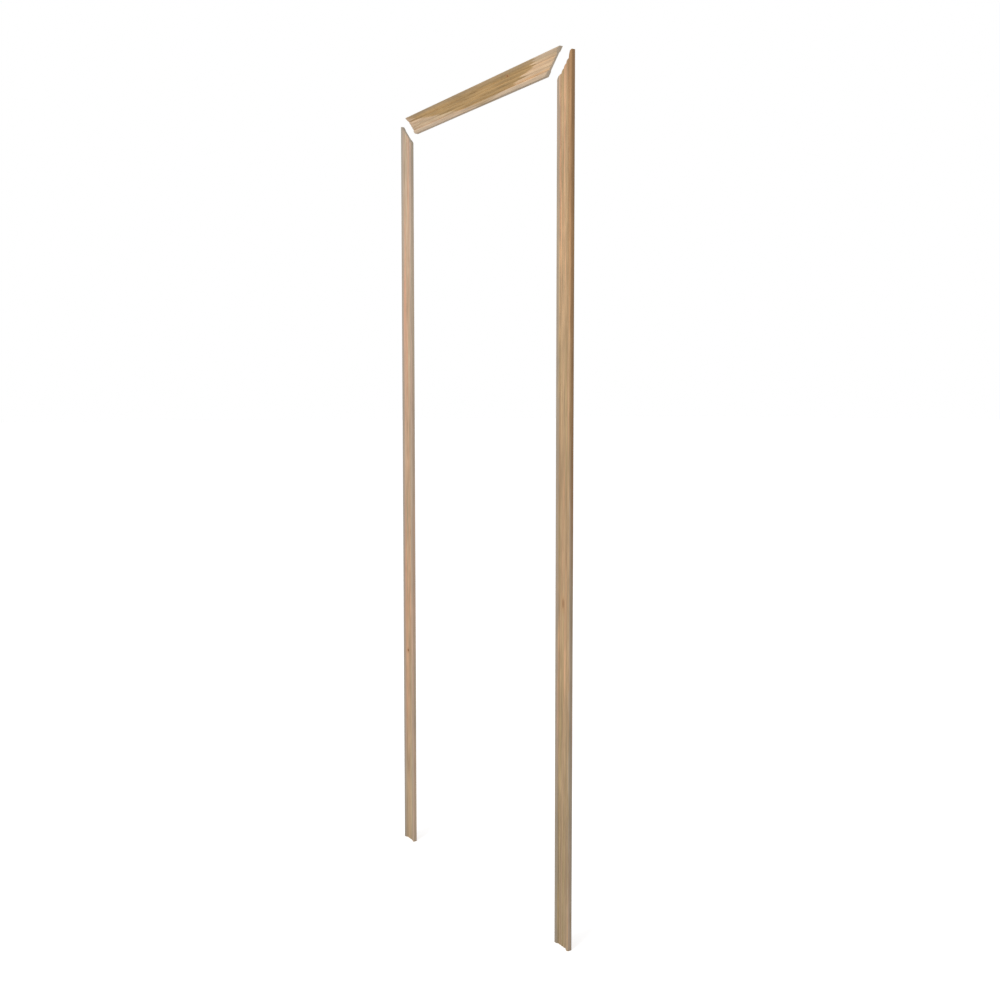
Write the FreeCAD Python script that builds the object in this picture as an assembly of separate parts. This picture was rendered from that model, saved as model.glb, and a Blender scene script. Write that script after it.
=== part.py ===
import FreeCAD, Part
import math
import os
from FreeCAD import Vector

# Mitred door casing: two legs and a head, run from one reeded pine moulding.
# Millimetres. Seen from the room: X to the right, Y into the wall, Z up.
# The wall face is y = 0 and the floor is z = 0, midway between the legs.

# Lengths, measured along the long outer edge of each piece
leg_length = 2133.6
head_length = 762.0
mitre_angle = 45.0

# How far the pieces stand off the closed casing. All three at zero close the mitres.
leg_gap = 38.0
head_gap = 20.0
head_shift = -10.0

# Face of the moulding: a bead along the inner edge, reeds, and a nose that climbs to the outer edge
bead_width = 12.8
reed_pitch = 9.3
reed_count = 3
nose_width = 16.45
quirk_thickness = 6.5
edge_rise = 3.5
bead_rise = 4.5
reed_rise = 1.8
nose_rise = 5.9
nose_fullness = 0.6
nose_radius = 4.2

# Back of the moulding: two bearing lands with a shallow relief between them
land_width = 10.0
relief_depth = 1.6
back_arris = 0.8

# Worked out from the sizes above
reeded_width = bead_width + reed_pitch * reed_count
width = reeded_width + nose_width
thickness = quirk_thickness + nose_rise
shoulder = thickness - nose_radius
mitre_slope = math.tan(math.radians(mitre_angle))
cut_margin = 5.0


def section_point(across, off_wall):
    """A point of the section: across from the inner edge, off the wall face."""
    return Vector(across, -off_wall, 0)


def line(start, end):
    return Part.LineSegment(section_point(*start), section_point(*end)).toShape()


def arc(start, middle, end):
    points = [section_point(*point) for point in (start, middle, end)]
    return Part.Arc(*points).toShape()


def bead():
    """The broad bead along the inner edge, thicker than the reeds beside it."""
    start = (0, quirk_thickness + edge_rise)
    crest = (bead_width / 2, quirk_thickness + bead_rise)
    return arc(start, crest, (bead_width, quirk_thickness))


def reeds():
    """One arc for each reed, meeting in sharp quirks."""
    arcs = []
    for number in range(reed_count):
        inner = bead_width + number * reed_pitch
        crest = (inner + reed_pitch / 2, quirk_thickness + reed_rise)
        arcs.append(arc((inner, quirk_thickness), crest, (inner + reed_pitch, quirk_thickness)))
    return arcs


def nose():
    """A slightly full slope out of the last quirk, and a round corner into the outer side."""
    crest = width - nose_radius
    slope_middle = ((reeded_width + crest) / 2, quirk_thickness + nose_rise / 2 + nose_fullness)
    slope = arc((reeded_width, quirk_thickness), slope_middle, (crest, thickness))
    bow = nose_radius * (1 - math.sqrt(0.5))
    corner = arc((crest, thickness), (width - bow, thickness - bow), (width, shoulder))
    return [slope, corner]


def arris(across, inward):
    """The eased back corner at one edge of the section, from its side to its back."""
    bow = back_arris * (1 - math.sqrt(0.5))
    side = (across, back_arris)
    middle = (across + inward * bow, bow)
    back = (across + inward * back_arris, 0)
    return side, middle, back


def back():
    """Bearing land, relief with sloped sides, bearing land, from the outer to the inner edge."""
    outer_land = width - land_width
    corners = [
        (width - back_arris, 0),
        (outer_land, 0),
        (outer_land - relief_depth, relief_depth),
        (land_width + relief_depth, relief_depth),
        (land_width, 0),
        (back_arris, 0),
    ]
    return [line(start, end) for start, end in zip(corners, corners[1:])]


def moulding_section():
    inner_arris = arris(0, 1)
    outer_arris = arris(width, -1)
    edges = [line((0, back_arris), (0, quirk_thickness + edge_rise))]
    edges.append(bead())
    edges += reeds()
    edges += nose()
    edges += [line((width, shoulder), (width, back_arris)), arc(*outer_arris)]
    edges += back()
    edges.append(arc(*reversed(inner_arris)))
    return Part.Face(Part.Wire(edges))


def moulding(length):
    """A square-ended run of moulding along Z, with its outer edge at x = width."""
    return moulding_section().extrude(Vector(0, 0, length))


def mitre_waste(length):
    """The wedge that comes off above a mitre whose long point is at z = length."""
    inner = -cut_margin
    outer = width + cut_margin
    low = length - (width - inner) * mitre_slope
    high = length + cut_margin * mitre_slope
    front = -(thickness + cut_margin)
    corners = [Vector(inner, front, low), Vector(outer, front, high), Vector(inner, front, high)]
    wedge = Part.Face(Part.makePolygon(corners + corners[:1]))
    return wedge.extrude(Vector(0, thickness + 2 * cut_margin, 0))


def right_leg():
    """Square foot on the floor, mitre at the top, outer edge away from the doorway."""
    leg = moulding(leg_length).cut(mitre_waste(leg_length))
    leg.translate(Vector(head_length / 2 + leg_gap - width, 0, 0))
    return leg


def left_leg():
    return right_leg().mirror(Vector(0, 0, 0), Vector(1, 0, 0))


def head():
    """Mitred at both ends, laid across above the legs with its outer edge on top."""
    run = moulding(head_length).cut(mitre_waste(head_length))
    other_mitre = mitre_waste(head_length).mirror(Vector(0, 0, head_length / 2), Vector(0, 0, 1))
    run = run.cut(other_mitre)
    run.translate(Vector(-width, 0, -head_length / 2))
    run.rotate(Vector(0, 0, 0), Vector(0, 1, 0), -90)
    run.translate(Vector(head_shift, 0, leg_length + head_gap))
    return run


pieces = {"left_leg": left_leg(), "right_leg": right_leg(), "head": head()}

os.makedirs("parts", exist_ok=True)
for name, shape in pieces.items():
    shape = shape.Solids[0] if len(shape.Solids) == 1 else shape
    shape.exportStep(f"parts/{name}.step")
    box = shape.BoundBox
    print(f"{name}: {len(shape.Solids)} solid, valid {shape.isValid()}, {shape.Volume / 1000:.1f} cm3,"
          f" x {box.XMin:.1f} to {box.XMax:.1f}, y {box.YMin:.1f} to {box.YMax:.1f},"
          f" z {box.ZMin:.1f} to {box.ZMax:.1f}")
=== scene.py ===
import math

import bmesh
import bpy
from mathutils import Matrix, Vector


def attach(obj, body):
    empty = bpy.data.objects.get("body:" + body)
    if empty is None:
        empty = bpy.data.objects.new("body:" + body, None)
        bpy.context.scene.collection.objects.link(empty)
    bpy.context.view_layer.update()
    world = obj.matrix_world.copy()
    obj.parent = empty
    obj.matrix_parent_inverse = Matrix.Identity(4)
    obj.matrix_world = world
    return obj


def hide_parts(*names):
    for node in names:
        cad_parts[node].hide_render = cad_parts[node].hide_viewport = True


# Mitred door casing in bare reeded pine: two legs and a head, standing loose as for a dry fit.
# Metres. X to the right, Y into the wall, Z up. The wall face is y = 0 and the floor is z = 0.

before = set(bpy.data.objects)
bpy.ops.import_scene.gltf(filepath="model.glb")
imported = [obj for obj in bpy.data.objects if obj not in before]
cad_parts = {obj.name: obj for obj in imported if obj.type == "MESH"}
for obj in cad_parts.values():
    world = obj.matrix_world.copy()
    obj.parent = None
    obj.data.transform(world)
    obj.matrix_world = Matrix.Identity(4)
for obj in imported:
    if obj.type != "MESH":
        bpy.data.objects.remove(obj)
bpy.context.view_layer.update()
scene = bpy.context.scene
print("frame loaded,", len(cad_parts), "nodes")


def addObject(name, data):
    added = bpy.data.objects.new(name, data)
    scene.collection.objects.link(added)
    return added


def meshObject(name, mesh):
    data = bpy.data.meshes.new(name)
    mesh.to_mesh(data)
    mesh.free()
    return addObject(name, data)


# ---- camera

viewpoint = {
    "place": (2.4568, -1.5266, 1.3188),
    "turn": 0.9959,      # to the left of straight at the wall, radians
    "dip": 0.0608,       # below level, radians
    "lens": 38.920,
    "shiftDown": 0.030,  # share of the picture's height
}


def placeCamera(view):
    camera = addObject("viewCamera", bpy.data.cameras.new("viewCamera"))
    camera.location = view["place"]
    camera.rotation_euler = (math.pi / 2 - view["dip"], 0, view["turn"])
    camera.data.lens = view["lens"]
    camera.data.shift_y = -view["shiftDown"]
    scene.camera = camera


placeCamera(viewpoint)
print("camera placed")

# ---- moulding

section = {
    "beadWidth": 0.0128,
    "reedPitch": 0.0093,
    "reedCount": 3,
    "noseWidth": 0.01645,
    "quirk": 0.0065,        # thickness at the quirks
    "edgeRise": 0.0035,     # inner edge over the quirks
    "beadRise": 0.0045,
    "reedRise": 0.0018,
    "noseRise": 0.0059,
    "noseFullness": 0.0006,
    "noseRadius": 0.0042,
    "land": 0.010,          # bearing land along each edge of the back
    "relief": 0.0016,
    "arris": 0.0008,        # easing of the two back corners
    "sawnEase": 0.00025,    # wear on the edges that the saw left
}
fineness = {
    "beadSteps": 18,
    "reedSteps": 14,
    "noseSteps": 12,
    "cornerSteps": 8,
    "arrisSteps": 4,
    "easeSteps": 2,
    "lengthStep": 0.055,
    "sharpFrom": 32.0,      # degrees
    "squareOn": 0.999,      # least cosine for a face that lies in a saw cut
    "outlineWeld": 0.00001,
    "cutWeld": 0.000001,
    "pieceWeld": 0.000002,
}


def arcThrough(start, middle, end):
    # centre and signed angle of the arc from start through middle to end
    a, b = middle - start, end - start
    cross = 2 * (a.x * b.y - a.y * b.x)
    away = Vector((b.y * a.length_squared - a.y * b.length_squared,
                   a.x * b.length_squared - b.x * a.length_squared)) / cross
    centre = start + away
    angle = (start - centre).angle_signed(middle - centre)
    angle += (middle - centre).angle_signed(end - centre)
    return centre, -angle


def drawLine(mesh, tip, across, offWall):
    tip = bmesh.ops.extrude_vert_indiv(mesh, verts=[tip])["verts"][0]
    tip.co = (across, -offWall, 0)
    return tip


def drawArc(mesh, tip, middle, end, steps):
    # spins the tip of the outline round to the end point, both given across and off the wall
    middle, end = (Vector((across, -offWall)) for across, offWall in (middle, end))
    centre, angle = arcThrough(tip.co.xy, middle, end)
    spun = bmesh.ops.spin(mesh, geom=[tip], cent=(*centre, 0), axis=(0, 0, 1), angle=angle,
                          steps=steps)
    return [part for part in spun["geom_last"] if isinstance(part, bmesh.types.BMVert)][0]


def reededWidth(size):
    return size["beadWidth"] + size["reedPitch"] * size["reedCount"]


def mouldingWidth(size):
    return reededWidth(size) + size["noseWidth"]


def drawSection(mesh, size):
    pitch, quirk, arris = size["reedPitch"], size["quirk"], size["arris"]
    reeded, width = reededWidth(size), mouldingWidth(size)
    top = quirk + size["noseRise"]
    crest = width - size["noseRadius"]
    towardsCorner = 1 - math.sqrt(0.5)   # from a corner to its arc's middle, in radii each way
    bow = arris * towardsCorner
    bend = size["noseRadius"] * towardsCorner
    tip = bmesh.ops.create_vert(mesh, co=(0, -arris, 0))["vert"][0]
    tip = drawLine(mesh, tip, 0, quirk + size["edgeRise"])
    beadTop = (size["beadWidth"] / 2, quirk + size["beadRise"])
    tip = drawArc(mesh, tip, beadTop, (size["beadWidth"], quirk), fineness["beadSteps"])
    for number in range(size["reedCount"]):
        inner = size["beadWidth"] + number * pitch
        middle = (inner + pitch / 2, quirk + size["reedRise"])
        tip = drawArc(mesh, tip, middle, (inner + pitch, quirk), fineness["reedSteps"])
    slopeMiddle = ((reeded + crest) / 2, (quirk + top) / 2 + size["noseFullness"])
    tip = drawArc(mesh, tip, slopeMiddle, (crest, top), fineness["noseSteps"])
    tip = drawArc(mesh, tip, (width - bend, top - bend), (width, top - size["noseRadius"]),
                  fineness["cornerSteps"])
    tip = drawLine(mesh, tip, width, arris)
    tip = drawArc(mesh, tip, (width - bow, bow), (width - arris, 0), fineness["arrisSteps"])
    tip = drawLine(mesh, tip, width - size["land"], 0)
    tip = drawLine(mesh, tip, width - size["land"] - size["relief"], size["relief"])
    tip = drawLine(mesh, tip, size["land"] + size["relief"], size["relief"])
    tip = drawLine(mesh, tip, size["land"], 0)
    tip = drawLine(mesh, tip, arris, 0)
    drawArc(mesh, tip, (bow, bow), (0, arris), fineness["arrisSteps"])
    bmesh.ops.remove_doubles(mesh, verts=mesh.verts, dist=fineness["outlineWeld"])
    return bmesh.ops.contextual_create(mesh, geom=mesh.edges[:])["faces"][0]


def sawEnd(mesh, point, direction):
    # cuts off what lies beyond the plane and closes the cut
    everything = mesh.verts[:] + mesh.edges[:] + mesh.faces[:]
    cut = bmesh.ops.bisect_plane(mesh, geom=everything, dist=fineness["cutWeld"], plane_co=point,
                                 plane_no=direction, clear_outer=True)
    edges = [part for part in cut["geom_cut"] if isinstance(part, bmesh.types.BMEdge)]
    bmesh.ops.contextual_create(mesh, geom=edges)


def easeSawnEdges(mesh, directions, size):
    # marks the sawn ends, wears their edges a little and gives them the end-grain finish
    def sawn(face):
        return any(face.normal.dot(direction) > fineness["squareOn"] for direction in directions)

    mesh.normal_update()
    rims = [edge for edge in mesh.edges if any(sawn(face) for face in edge.link_faces)]
    bmesh.ops.bevel(mesh, geom=rims, offset=size["sawnEase"], offset_type="OFFSET",
                    segments=fineness["easeSteps"], profile=0.5, affect="EDGES", material=-1,
                    clamp_overlap=True)
    mesh.normal_update()
    for face in mesh.faces:
        face.material_index = 1 if sawn(face) else 0
    bmesh.ops.triangulate(mesh, faces=[face for face in mesh.faces if len(face.verts) > 4])


def runMoulding(length, size, mitredFoot=False):
    # a run along Z with its long outer edge from z = 0, mitred at the top and perhaps at the foot
    mesh = bmesh.new()
    grown = bmesh.ops.extrude_face_region(mesh, geom=[drawSection(mesh, size)])["geom"]
    moved = [part for part in grown if isinstance(part, bmesh.types.BMVert)]
    bmesh.ops.translate(mesh, verts=moved, vec=(0, 0, length))
    longEdges = [edge for edge in mesh.edges if edge.calc_length() > length / 2]
    bmesh.ops.subdivide_edges(mesh, edges=longEdges, cuts=round(length / fineness["lengthStep"]),
                              use_grid_fill=True)
    topCut = Vector((-1, 0, 1)).normalized()
    footCut = Vector((-1, 0, -1)).normalized() if mitredFoot else Vector((0, 0, -1))
    sawEnd(mesh, (mouldingWidth(size), 0, length), topCut)
    if mitredFoot:
        sawEnd(mesh, (mouldingWidth(size), 0, 0), footCut)
    bmesh.ops.recalc_face_normals(mesh, faces=mesh.faces)
    easeSawnEdges(mesh, (topCut, footCut), size)
    return mesh


def finishPiece(mesh, name, turned, node):
    # places the run, checks that it is closed and makes it the piece that stands for its node
    bmesh.ops.transform(mesh, matrix=turned, verts=mesh.verts)
    bmesh.ops.remove_doubles(mesh, verts=mesh.verts, dist=fineness["pieceWeld"])
    bmesh.ops.recalc_face_normals(mesh, faces=mesh.faces)
    for face in mesh.faces:
        face.smooth = True
    for edge in mesh.edges:
        edge.smooth = edge.calc_face_angle(math.pi) < math.radians(fineness["sharpFrom"])
    openEdges = sum(not edge.is_manifold for edge in mesh.edges)
    piece = meshObject(name, mesh)
    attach(piece, "root")
    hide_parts(node)
    print(name, len(piece.data.polygons), "faces,", openEdges, "open edges")
    return piece


legs = {
    "length": 2.1336,
    "innerEdge": 0.36185,    # from the middle of the doorway
}
head = {
    "length": 0.762,
    "start": -0.391,         # left end of the long edge
    "longEdge": 2.1536,      # height of the long edge
}


def makeLeg(name, node, side):
    mesh = runMoulding(legs["length"], section)
    place = Matrix.Scale(side, 4, (1, 0, 0)) @ Matrix.Translation((legs["innerEdge"], 0, 0))
    return finishPiece(mesh, name, place, node)


def makeHead(name, node):
    mesh = runMoulding(head["length"], section, mitredFoot=True)
    # the run's outer edge turns up, and its length along X
    turn = Matrix.Rotation(-math.pi / 2, 4, "Y")
    ahead = head["start"] + head["length"]
    place = Matrix.Translation((ahead, 0, head["longEdge"] - mouldingWidth(section))) @ turn
    return finishPiece(mesh, name, place, node)


rightLeg = makeLeg("rightLegMoulding", "right_leg", 1)
leftLeg = makeLeg("leftLegMoulding", "left_leg", -1)
headRun = makeHead("headMoulding", "head")

# ---- shader wires


class Wire:
    # a shader socket that takes part in sums, with one method for every other node
    def __init__(self, tree, socket=None):
        self.tree = tree
        self.socket = socket

    def node(self, kind, settings=None, values=None, output=0):
        made = self.tree.nodes.new("ShaderNode" + kind)
        for name, value in (settings or {}).items():
            if name == "stops":
                ramp = made.color_ramp
                while len(ramp.elements) < len(value):
                    ramp.elements.new(1)
                for element, (position, colour) in zip(ramp.elements, value):
                    element.position = position
                    element.color = colour if hasattr(colour, "__len__") else (colour,) * 3 + (1,)
            else:
                setattr(made, name, value)
        for name, value in (values or {}).items():
            socket = self.pick(made.inputs, name)
            if isinstance(value, Wire):
                self.tree.links.new(value.socket, socket)
            else:
                socket.default_value = value
        return Wire(self.tree, self.pick(made.outputs, output)) if made.outputs else None

    def pick(self, sockets, key):
        # the enabled socket with this number or name
        live = [socket for socket in sockets if socket.enabled]
        return live[key] if isinstance(key, int) else [s for s in live if s.name == key][0]

    def maths(self, operation, *values):
        return self.node("Math", {"operation": operation}, dict(enumerate(values)))

    def __add__(self, other):
        return self.maths("ADD", self, other)

    __radd__ = __add__

    def __sub__(self, other):
        return self.maths("SUBTRACT", self, other)

    def __rsub__(self, other):
        return self.maths("SUBTRACT", other, self)

    def __mul__(self, other):
        return self.maths("MULTIPLY", self, other)

    __rmul__ = __mul__

    def __truediv__(self, other):
        return self.maths("DIVIDE", self, other)

    def __pow__(self, other):
        return self.maths("POWER", self, other)


def emptied(owner):
    # the node tree of a material or the world, without its first nodes
    owner.use_nodes = True
    owner.node_tree.nodes.clear()
    return Wire(owner.node_tree)


def screen(red, green, blue):
    # a colour as it looks on screen, 0 to 255, as the shader's own colour, by the sRGB curve
    def plain(level):
        level /= 255
        return level / 12.92 if level <= 0.04045 else ((level + 0.055) / 1.055) ** 2.4

    return plain(red), plain(green), plain(blue), 1.0


def smoothly(value, low, high):
    # 0 below low, 1 above high
    return value.node("MapRange", {"interpolation_type": "SMOOTHSTEP"},
                      {"Value": value, "From Min": low, "From Max": high})


def blended(first, second, share):
    # the share may be a wire or a number
    return first.node("Mix", {"data_type": "RGBA"}, {"Factor": share, "A": first, "B": second})


def shaded(colour, share):
    # colour times a grey level
    grey = share.node("CombineColor", None, {"Red": share, "Green": share, "Blue": share})
    return share.node("Mix", {"data_type": "RGBA", "blend_type": "MULTIPLY"},
                      {"Factor": 1.0, "A": colour, "B": grey})


# ---- pine

# Each noise: how many waves to the metre across, through and along the wood, the step from the
# piece's own seed, the detail and the roughness
noises = {
    "sway": ((5, 5, 1.2), 0, 2.0, 0.5),
    "ripple": ((30, 30, 7), 2, 2.0, 0.5),
    "uneven": ((16, 16, 0.8), 5, 2.0, 0.5),
    "broad": ((90, 90, 1.4), 9, 3.0, 0.55),
    "fine": ((260, 260, 5), 13, 3.0, 0.6),
    "fibre": ((1800, 1800, 32), 17, 2.0, 0.6),
    "hue": ((170, 170, 2.4), 21, 2.0, 0.6),
    "line": ((520, 520, 6), 25, 2.0, 0.5),
    "pores": ((1100, 1100, 1100), 30, 2.0, 0.7),
    "patch": ((14, 14, 5), 33, 2.0, 0.5),
    "streak": ((170, 170, 14), 37, 3.0, 0.6),
}
seedSpread = (1.0, 1.7, 0.6)         # takes each seed to its own corner of the noise
noiseMiddle = 0.5
grain = {
    "sway": 0.016,                   # how far the grain wanders, slowly and quickly
    "ripple": 0.0035,
    "knotReach": -0.25,              # how a knot pushes the grain aside
    "knotPush": 0.7,
    "uneven": 1.8,                   # how much the rings differ in width
    "ringStops": ((0.0, 0.1), (0.4, 0.18), (0.78, 0.9), (0.93, 1.0), (1.0, 0.1)),
    "warmFrom": (0.50, 0.68),
    "coolFrom": (0.52, 0.70),
    "hueShare": 0.6,
    "roughFrom": (-0.1, 0.2),        # from bowAt, where the heart's edge changes in roughness
    "heartWander": 0.006,
    "lateShare": 0.14,
    "lateOnHeart": 0.12,             # added on the heart
    "lineFrom": (0.58, 0.72),
    "lineShare": 0.38,
    "lightness": 0.96,
    "contrast": {"broad": 0.50, "patch": 0.40, "fine": 0.80, "streak": 0.80, "fibre": 0.16},
}
knotLook = {
    "ragged": 0.5,
    "core": (0.45, 1.0),             # in the knot's own radii
    "halo": (0.8, 2.4),
    "coreTone": screen(116, 74, 42),
    "haloTone": screen(176, 124, 76),
    "haloShare": 0.5,
}
endLook = {
    "tone": screen(178, 168, 152),
    "share": 0.65,
    "late": -0.14,                   # how late wood and pores change the lightness
    "pores": 0.2,
}
edgeGreyAndShade = {
    "tone": screen(168, 160, 148),   # the grey the edges are blended towards: painted shade along the outer edge, plain greying along the inner edge
    "inner": (0.0075, 0.0130),       # fades out from the inner edge
    "side": (0.0006, 0.0012),        # the inner side itself, where the painted side light goes
    "ragged": 0.006,
}
polish = {
    "roughness": 0.66,
    "lateGloss": 0.1,
    "specular": 0.3,
    "late": 0.6,                     # how the relief is shared between late wood and fibres
    "fibre": 0.4,
    "bump": 0.3,
    "depth": 0.0002,
}

# Places on a piece are across from the inner edge, into the wall (Y) and along its length.
# Shift, mirror and turn take the object's axes to these. A pair of bow or rough values is for the
# wood before and after bowAt. A knot is its place across and along, its radii and its strength.
rightLegPine = {
    "seed": 3.1,
    "shift": (-legs["innerEdge"], 0, 0),
    "mirror": (1, 1, 1),
    "turn": 0.0,
    "pith": (0.080, 0.030),      # the middle of the tree, across and into the wall
    "ring": 0.0029,              # width of a year's ring
    "bowAt": 2.2,                # where along the piece the wood lies nearest to the pith
    "bowReach": (1.5, 1.9),
    "bowPower": (2.0, 2.0),
    "bow": 0.020,
    # darker towards the floor: partly the board's own tone, partly painted shade of the light
    # falling off downwards
    "tones": ((0.0, screen(158, 138, 109)), (0.75, screen(169, 143, 110)),
              (1.4, screen(175, 147, 112)), (2.1336, screen(179, 148, 113))),
    "warm": screen(214, 162, 124),
    "cool": screen(172, 150, 106),
    "late": screen(150, 110, 70),
    # the dark heart along the outer edge, fading towards the floor, is partly the wood's heart and
    # partly painted shade on the nose
    "heartAndShade": screen(158, 118, 76),
    "heartEdge": 0.0486,         # distance from the pith where the dark heart starts to fade
    "heartSoft": 0.010,
    "heartRough": (0.004, 0.004),
    "heartShare": 0.85,
    "innerEdge": (0.50, 0.18),   # how far it is greyed and darkened
    # outerEdge and outerFrom paint shade on the rounded outer edge, greyed and darkened
    "outerEdge": (0.42, 0.06),
    "outerFrom": (0.0557, 0.0570),
    "paintedSideLight": 0.0,             # painted light: how much lighter the inner side is drawn
    "edgeToneOnHeart": 0.1,          # how much of the greyed and shaded edges shows on the heart
    "endLightAndShade": 0.95,            # lightness of the sawn ends, piece by piece: the end grain's own tone with painted light and shade for how each piece's ends are lit
    "knots": (((0.028, 0.843), (0.006, 0.015), 0.40),),
}
leftLegPine = {
    "seed": 8.4,
    "shift": (-legs["innerEdge"], 0, 0),
    "mirror": (-1, 1, 1),
    "turn": 0.0,
    "pith": (-0.020, 0.060),
    "ring": 0.0032,
    "bowAt": 0.4,
    "bowReach": (1.0, 1.6),
    "bowPower": (2.0, 2.0),
    "bow": 0.008,
    # darker towards the floor: partly the board's own tone, partly painted shade of the light
    # falling off downwards
    "tones": ((0.0, screen(175, 150, 118)), (0.7, screen(184, 153, 121)),
              (1.4, screen(191, 158, 130)), (2.1336, screen(188, 165, 141))),
    "warm": screen(208, 150, 120),
    "cool": screen(178, 169, 138),
    "late": screen(160, 122, 92),
    "heartAndShade": screen(170, 134, 100),
    "heartEdge": 0.045,
    "heartSoft": 0.02,
    "heartRough": (0.004, 0.004),
    "heartShare": 0.2,
    # innerEdge here darkens the bead as painted shade; outerEdge paints shade on the rounded outer
    # edge
    "innerEdge": (0.40, 0.08),
    "outerEdge": (0.76, 0.19),
    "outerFrom": (0.0415, 0.051),
    "paintedSideLight": 0.17,
    "edgeToneOnHeart": 1.0,
    "endLightAndShade": 0.85,
    "knots": (((0.034, 0.579), (0.0042, 0.0055), 0.75), ((0.018, 0.938), (0.0035, 0.006), 0.25)),
}
headPine = {
    "seed": 5.7,
    "shift": (mouldingWidth(section) - head["longEdge"], 0, 0),
    "mirror": (1, 1, 1),
    "turn": math.pi / 2,
    "pith": (0.067, 0.020),
    "ring": 0.0026,
    "bowAt": -0.03,
    "bowReach": (0.236, 0.40),
    "bowPower": (2.0, 1.0),
    "bow": 0.036,
    "tones": ((-0.371, screen(198, 170, 138)), (0.391, screen(197, 170, 141))),
    "warm": screen(208, 166, 120),
    "cool": screen(184, 164, 128),
    "late": screen(146, 108, 62),
    "heartAndShade": screen(165, 134, 86),
    "heartEdge": 0.0690,
    "heartSoft": 0.004,
    "heartRough": (0.030, 0.010),
    "heartShare": 0.9,
    "innerEdge": (0.30, 0.0),
    # outerEdge paints shade along the rounded top edge
    "outerEdge": (0.25, 0.14),
    "outerFrom": (0.043, 0.052),
    "paintedSideLight": 0.0,
    "edgeToneOnHeart": 0.8,
    "endLightAndShade": 1.16,
    "knots": (((0.0432, -0.147), (0.0022, 0.004), 0.9),),
}


def noise(place, look, name):
    scale, step, detail, roughness = noises[name]
    seed = look["seed"] + step
    where = place.node("VectorMath", {"operation": "MULTIPLY_ADD"},
                       {0: place, 1: scale, 2: tuple(seed * part for part in seedSpread)})
    return place.node("TexNoise", None, {"Vector": where, "Scale": 1.0, "Detail": detail,
                                         "Roughness": roughness}, "Fac")


def swing(place, look, name):
    # the noise to either side of zero
    return noise(place, look, name) - noiseMiddle


def fromKnot(across, along, place, size):
    # squared distance from a knot in its own radii
    side = (across - place[0]) / size[0]
    rise = (along - place[1]) / size[1]
    return side * side + rise * rise


def grainRadius(look, place, across, depth, along):
    # distance from the pith, with the wander of the grain and its way round the knots
    sway, ripple = swing(place, look, "sway"), swing(place, look, "ripple")
    bent = across + sway * grain["sway"] + ripple * grain["ripple"]
    for knot, size, _ in look["knots"]:
        pull = across.maths("EXPONENT", fromKnot(across, along, knot, size) * grain["knotReach"])
        bent = bent - (across - knot[0]) * pull * grain["knotPush"]
    fromPith = bent - look["pith"][0]
    under = depth - look["pith"][1]
    radius = across.maths("SQRT", fromPith * fromPith + under * under)
    bend = 0.0
    for way, reach, power in zip((-1, 1), look["bowReach"], look["bowPower"]):
        run = across.maths("MAXIMUM", (along - look["bowAt"]) * way, 0.0) / reach
        bend = run ** power + bend
    return radius + bend * look["bow"]


def heartShare(look, radius, along, fine, broad):
    # 1 inside the darker heart (on the right leg's nose partly painted shade), whose edge changes
    # in roughness past bowAt
    roughBefore, roughAfter = look["heartRough"]
    early, late = (look["bowAt"] + shift for shift in grain["roughFrom"])
    rough = smoothly(along, early, late) * (roughAfter - roughBefore) + roughBefore
    jagged = radius + fine * rough + broad * grain["heartWander"]
    return smoothly(jagged * -1.0, -look["heartEdge"] - look["heartSoft"], -look["heartEdge"])


def toneAndFalloff(look, along, hue):
    # the board's colour along its length, with warmer and cooler stripes; where it darkens towards
    # the floor that is partly the wood's tone and partly painted shade of the light falling off
    # downwards
    tones = look["tones"]
    low, high = tones[0][0], tones[-1][0]
    stops = [((at - low) / (high - low), tone) for at, tone in tones]
    colour = along.node("ValToRGB", {"stops": stops}, {"Fac": (along - low) / (high - low)})
    warm = smoothly(hue, *grain["warmFrom"])
    cool = smoothly(1.0 - hue, *grain["coolFrom"])
    colour = blended(colour, look["warm"], warm * grain["hueShare"])
    return blended(colour, look["cool"], cool * grain["hueShare"])


def withKnots(colour, look, across, along, fine):
    for knot, size, strength in look["knots"]:
        away = across.maths("SQRT", fromKnot(across, along, knot, size)) + fine * knotLook["ragged"]
        core = 1.0 - smoothly(away, *knotLook["core"])
        halo = 1.0 - smoothly(away, *knotLook["halo"])
        colour = blended(colour, knotLook["haloTone"], halo * knotLook["haloShare"] * strength)
        colour = blended(colour, knotLook["coreTone"], core * strength)
    return colour


def withGreyedAndShadedEdges(colour, look, across, streak, heartAndShade):
    bare = 1.0 - heartAndShade * (1.0 - look["edgeToneOnHeart"])
    wander = across + streak * edgeGreyAndShade["ragged"]
    inner = (1.0 - smoothly(wander, *edgeGreyAndShade["inner"])) * bare
    outer = smoothly(wander, *look["outerFrom"]) * bare
    # side: where the painted light of the inner side goes
    side = 1.0 - smoothly(across, *edgeGreyAndShade["side"])
    # outer: painted shade where the rounded outer edge turns from the light; inner: the inner edge
    # greyed and darkened
    greyed = inner * look["innerEdge"][0] + outer * look["outerEdge"][0]
    darkened = inner * look["innerEdge"][1] + outer * look["outerEdge"][1]
    colour = blended(colour, edgeGreyAndShade["tone"], greyed)
    return shaded(colour, side * look["paintedSideLight"] + 1.0 - darkened)


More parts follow.
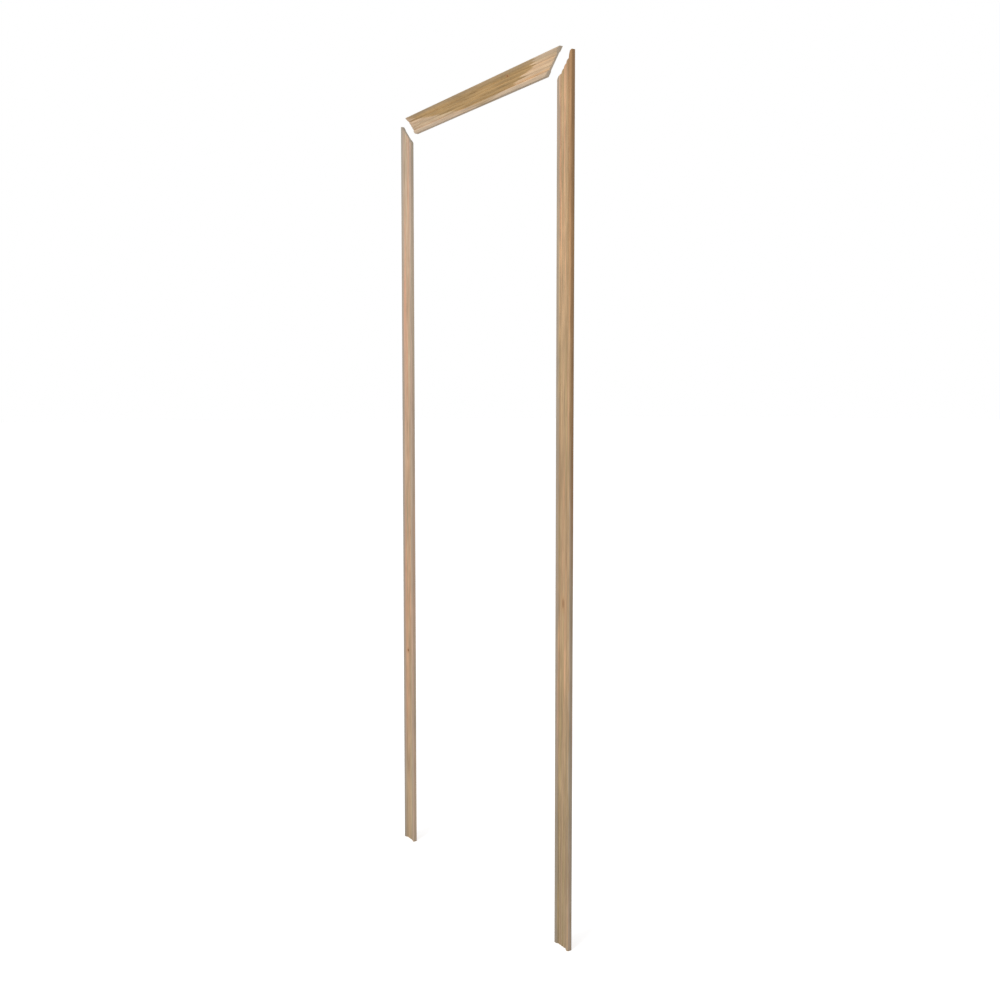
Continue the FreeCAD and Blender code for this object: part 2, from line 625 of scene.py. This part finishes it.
def pineMaterial(name, look, endGrain):
    material = bpy.data.materials.new(name)
    board = emptied(material)
    own = board.node("TexCoord", None, None, "Object")
    place = board.node("Mapping", None, {"Vector": own, "Location": look["shift"],
                                         "Scale": look["mirror"], "Rotation": (0, look["turn"], 0)})
    across, depth, along = (
        board.node("SeparateXYZ", None, {"Vector": place}, axis) for axis in "XYZ")

    radius = grainRadius(look, place, across, depth, along)
    uneven = swing(place, look, "uneven") * grain["uneven"]
    ringPart = board.maths("FRACT", radius / look["ring"] + uneven)
    late = board.node("ValToRGB", {"stops": grain["ringStops"]}, {"Fac": ringPart})
    late = board.node("RGBToBW", None, {"Color": late})
    patch, broad, streak, fine = (
        swing(place, look, kind) for kind in ("patch", "broad", "streak", "fine"))
    hue, line, fibre = (noise(place, look, kind) for kind in ("hue", "line", "fibre"))

    colour = toneAndFalloff(look, along, hue)
    heartAndShade = heartShare(look, radius, along, fine, broad)
    colour = blended(colour, look["heartAndShade"], heartAndShade * look["heartShare"])
    ringShare = grain["lateShare"] + heartAndShade * grain["lateOnHeart"]
    colour = blended(colour, look["late"], late * ringShare)
    colour = blended(colour, look["late"], smoothly(line, *grain["lineFrom"]) * grain["lineShare"])
    contrast = grain["contrast"]
    wide = broad * contrast["broad"] + patch * contrast["patch"]
    colour = shaded(colour, grain["lightness"] + wide)
    colour = shaded(colour, 1.0 + fine * contrast["fine"] + streak * contrast["streak"])
    colour = shaded(colour, 1.0 + (fibre - noiseMiddle) * contrast["fibre"])
    colour = withKnots(colour, look, across, along, fine)
    if endGrain:
        pores = noise(place, look, "pores") * endLook["pores"]
        colour = blended(colour, endLook["tone"], endLook["share"])
        # the ends' lightness carries painted light on the head and painted shade on the left leg
        colour = shaded(colour, look["endLightAndShade"] + late * endLook["late"] + pores)
    else:
        colour = withGreyedAndShadedEdges(colour, look, across, streak, heartAndShade)

    relief = late * polish["late"] + fibre * polish["fibre"]
    bump = board.node("Bump", None, {"Strength": polish["bump"], "Distance": polish["depth"],
                                     "Height": relief})
    surface = board.node("BsdfPrincipled", None, {
        "Base Color": colour, "Roughness": polish["roughness"] - late * polish["lateGloss"],
        "Normal": bump, "Specular IOR Level": polish["specular"],
    })
    board.node("OutputMaterial", None, {"Surface": surface})
    return material


for piece, look, title in ((rightLeg, rightLegPine, "rightLeg"), (leftLeg, leftLegPine, "leftLeg"),
                           (headRun, headPine, "head")):
    piece.data.materials.append(pineMaterial(title + "Pine", look, False))
    piece.data.materials.append(pineMaterial(title + "EndGrain", look, True))
print("pine on")

# ---- floor, lights and background

white = (1, 1, 1, 1)
studio = {
    "floorSize": 160.0,
    "floorDrop": 0.0002,     # below the feet
    "floorColour": 0.80,
    "floorRoughness": 0.9,
    "floorLift": 0.56,       # brings the floor up to the white background
    "ambient": 0.56,
    "keyPlace": (1.5, -4.5, 3.2),
    "keyTarget": (0, 0, 1.1),
    "keyPower": 150.0,
    "keySize": 2.4,
}


def seenDirectly(wire):
    # 1 for what the camera sees, straight or in a reflection
    seen = wire.node("LightPath", None, None, "Is Camera Ray")
    for ray in ("Is Glossy Ray", "Is Transmission Ray"):
        seen = wire.maths("MAXIMUM", seen, wire.node("LightPath", None, None, ray))
    return seen


def makeFloor(setup):
    mesh = bmesh.new()
    bmesh.ops.create_grid(mesh, x_segments=1, y_segments=1, size=setup["floorSize"] / 2)
    bmesh.ops.translate(mesh, verts=mesh.verts, vec=(0, 0, -setup["floorDrop"]))
    floor = meshObject("studioFloor", mesh)
    material = bpy.data.materials.new("paleFloor")
    wire = emptied(material)
    grey = (setup["floorColour"],) * 3 + (1,)
    floorLook = {"Base Color": grey, "Roughness": setup["floorRoughness"]}
    plain = wire.node("BsdfPrincipled", None, floorLook)
    lifted = wire.node("BsdfPrincipled", None, {**floorLook, "Emission Color": white,
                                                "Emission Strength": setup["floorLift"]})
    both = wire.node("MixShader", None, {0: seenDirectly(wire), 1: plain, 2: lifted})
    wire.node("OutputMaterial", None, {"Surface": both})
    floor.data.materials.append(material)


def lightBackground(setup):
    scene.world = bpy.data.worlds.new("whiteStudio")
    wire = emptied(scene.world)
    ambient = wire.node("Background", None, {"Color": white, "Strength": setup["ambient"]})
    shown = wire.node("Background", None, {"Color": white, "Strength": 1.0})
    both = wire.node("MixShader", None, {0: seenDirectly(wire), 1: ambient, 2: shown})
    wire.node("OutputWorld", None, {"Surface": both})


def hangLamp(name, place, target, power, size):
    lamp = bpy.data.lights.new(name, "AREA")
    lamp.shape = "DISK"
    lamp.energy = power
    lamp.size = size
    holder = addObject(name, lamp)
    holder.location = place
    holder.rotation_euler = (Vector(target) - Vector(place)).to_track_quat("-Z", "Y").to_euler()


makeFloor(studio)
lightBackground(studio)
hangLamp("keyLamp", studio["keyPlace"], studio["keyTarget"], studio["keyPower"], studio["keySize"])
scene.view_settings.view_transform = "Standard"
print("studio lit")
